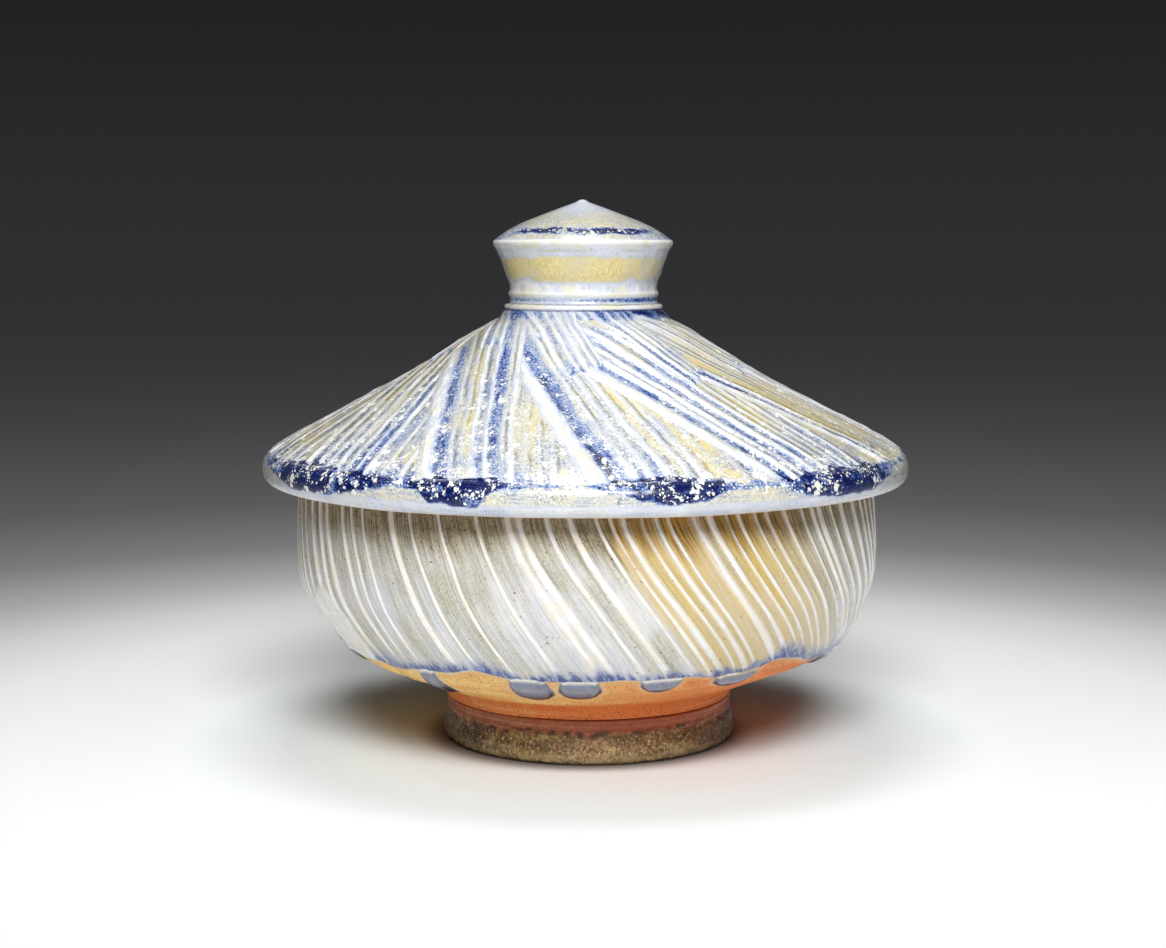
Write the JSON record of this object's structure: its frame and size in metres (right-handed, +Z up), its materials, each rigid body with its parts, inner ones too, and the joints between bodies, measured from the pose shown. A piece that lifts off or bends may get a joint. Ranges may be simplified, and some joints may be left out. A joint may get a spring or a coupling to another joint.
{
  "type": "lidded bowl",
  "caption": "Round footed stoneware bowl with an overhanging conical lift-off lid, a hollow pointed knob and combed, glazed decoration over a bare clay foot.",
  "frame": {"origin": "centre of the foot's resting face", "axes": "+Z up along the axis that every piece was turned about, -Y towards the viewer"},
  "size_m": [0.2, 0.2, 0.1672],
  "materials": {
    "bowl_glaze": "combed white slip under a glossy olive, ochre and milky blue glaze, over orange clay",
    "lid_glaze": "combed white slip strokes with cobalt blue lines and ochre washes under a glossy clear glaze",
    "knob_glaze": "milky white glaze with ochre and cobalt blue bands",
    "bare_foot": "unglazed stoneware with a mottled ash and iron skin",
    "bare_flange": "unglazed orange stoneware, turned smooth"
  },
  "bodies": {
    "bowl": {"bowl": "bowl_glaze", "foot_ring": "bare_foot"},
    "lid": {"lid": "lid_glaze", "locating_flange": "bare_flange", "knob_collar": "knob_glaze", "knob": "knob_glaze"}
  },
  "joints": [
    {"name": "lid_lift", "type": "slide", "parent": "bowl", "child": "lid", "axis": [0, 0, 1], "range_m": [0, 0.12]}
  ]
}
